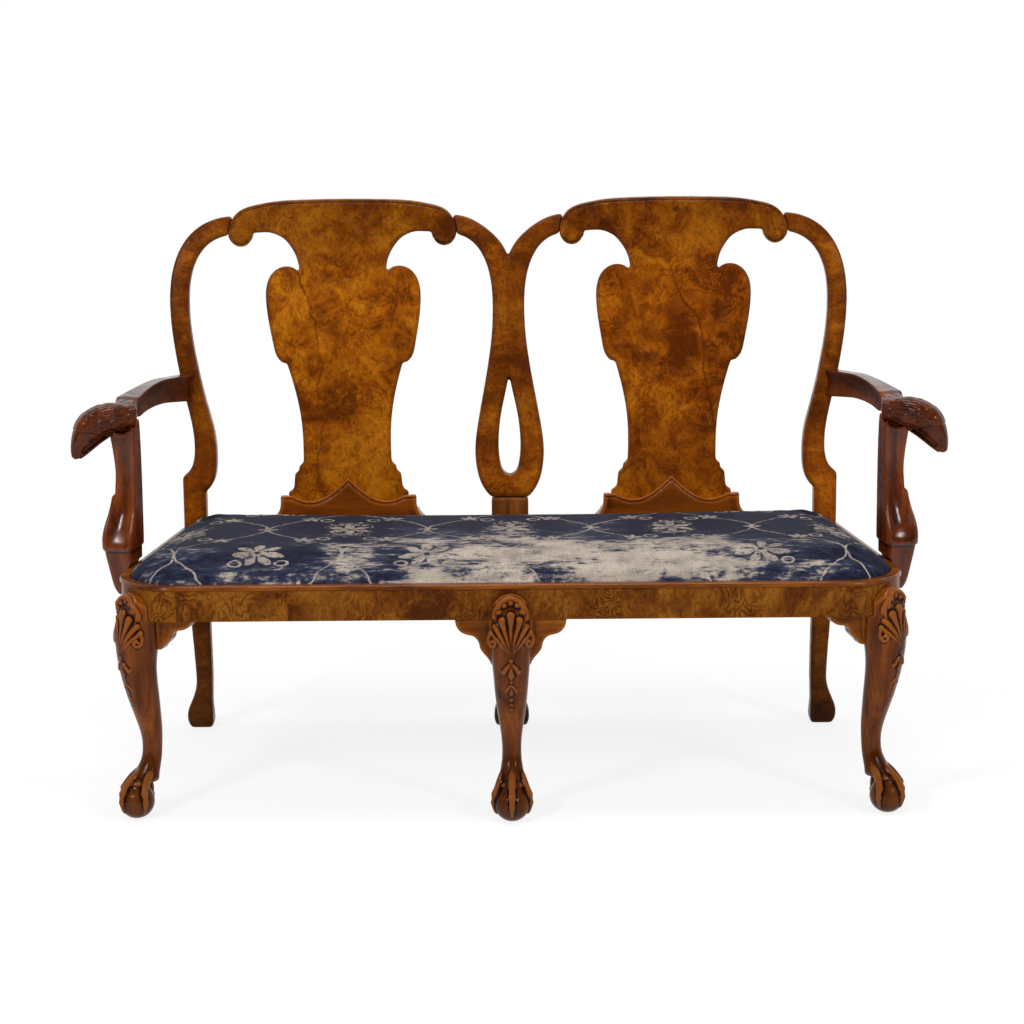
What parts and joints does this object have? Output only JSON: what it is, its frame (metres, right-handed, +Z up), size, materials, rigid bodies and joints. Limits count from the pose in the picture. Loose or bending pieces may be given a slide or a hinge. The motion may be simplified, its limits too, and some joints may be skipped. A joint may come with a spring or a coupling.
{
  "type": "chairback settee",
  "caption": "Walnut chairback settee with vase splats, scrolled crest rails, eagle-head arms, cabriole legs on ball-and-claw feet and a lift-out padded seat.",
  "frame": {"origin": "on the floor under the middle of the overall box", "axes": "+X to the right as seen from the front, -Y out of the front, +Z up"},
  "size_m": [1.5172, 0.6759, 1.013],
  "materials": {
    "walnut": "waxed walnut, satin",
    "burr_veneer": "polished burr walnut, satin",
    "red_walnut": "polished dark red-brown walnut, glossy",
    "frame_wood": "plain unpolished wood",
    "iron": "dark iron",
    "webbing": "woven jute",
    "base_cloth": "plain hessian",
    "stuffing": "matted hair and linen",
    "velvet": "worn figured velvet in blue and pale grey"
  },
  "bodies": {
    "frame": {"arm_screws": "iron", "arm_support_screws": "iron", "centre_leg_left_bracket": "walnut", "centre_leg_right_bracket": "walnut", "front_centre_leg": "walnut", "front_lip_moulding": "walnut", "front_rail_veneer": "burr_veneer", "front_seat_rail": "frame_wood", "joint_pegs": "walnut", "left_arm": "red_walnut", "left_arm_support": "red_walnut", "left_back_post": "walnut", "left_centre_stile": "walnut", "left_corner_rail": "walnut", "left_crest_rail": "burr_veneer", "left_front_leg": "walnut", "left_glue_block": "frame_wood", "left_leg_front_bracket": "walnut", "left_leg_side_bracket": "walnut", "left_lip_moulding": "walnut", "left_rear_rail": "frame_wood", "left_seat_rail": "walnut", "left_splat": "walnut", "left_splat_shoe": "walnut", "left_splat_veneer": "burr_veneer", "rear_centre_leg": "walnut", "right_arm": "red_walnut", "right_arm_support": "red_walnut", "right_back_post": "walnut", "right_centre_stile": "walnut", "right_corner_rail": "walnut", "right_crest_rail": "burr_veneer", "right_front_leg": "walnut", "right_glue_block": "frame_wood", "right_leg_front_bracket": "walnut", "right_leg_side_bracket": "walnut", "right_lip_moulding": "walnut", "right_rear_rail": "frame_wood", "right_seat_rail": "walnut", "right_splat": "walnut", "right_splat_shoe": "walnut", "right_splat_veneer": "burr_veneer", "seat_bearers": "frame_wood", "seat_cross_rail": "frame_wood"},
    "drop_in_seat": {"slip_frame_front": "frame_wood", "slip_frame_back": "frame_wood", "right_slip_frame_side": "frame_wood", "left_slip_frame_side": "frame_wood", "slip_frame_bar": "frame_wood", "webbing_crossways": "webbing", "webbing_lengthways": "webbing", "base_cloth": "base_cloth", "stuffing_pad": "stuffing", "seat_cover": "velvet"}
  },
  "joints": [
    {"name": "seat_lift", "type": "slide", "parent": "frame", "child": "drop_in_seat", "axis": [0, 0, 1], "range_m": [0, 0.15]}
  ]
}
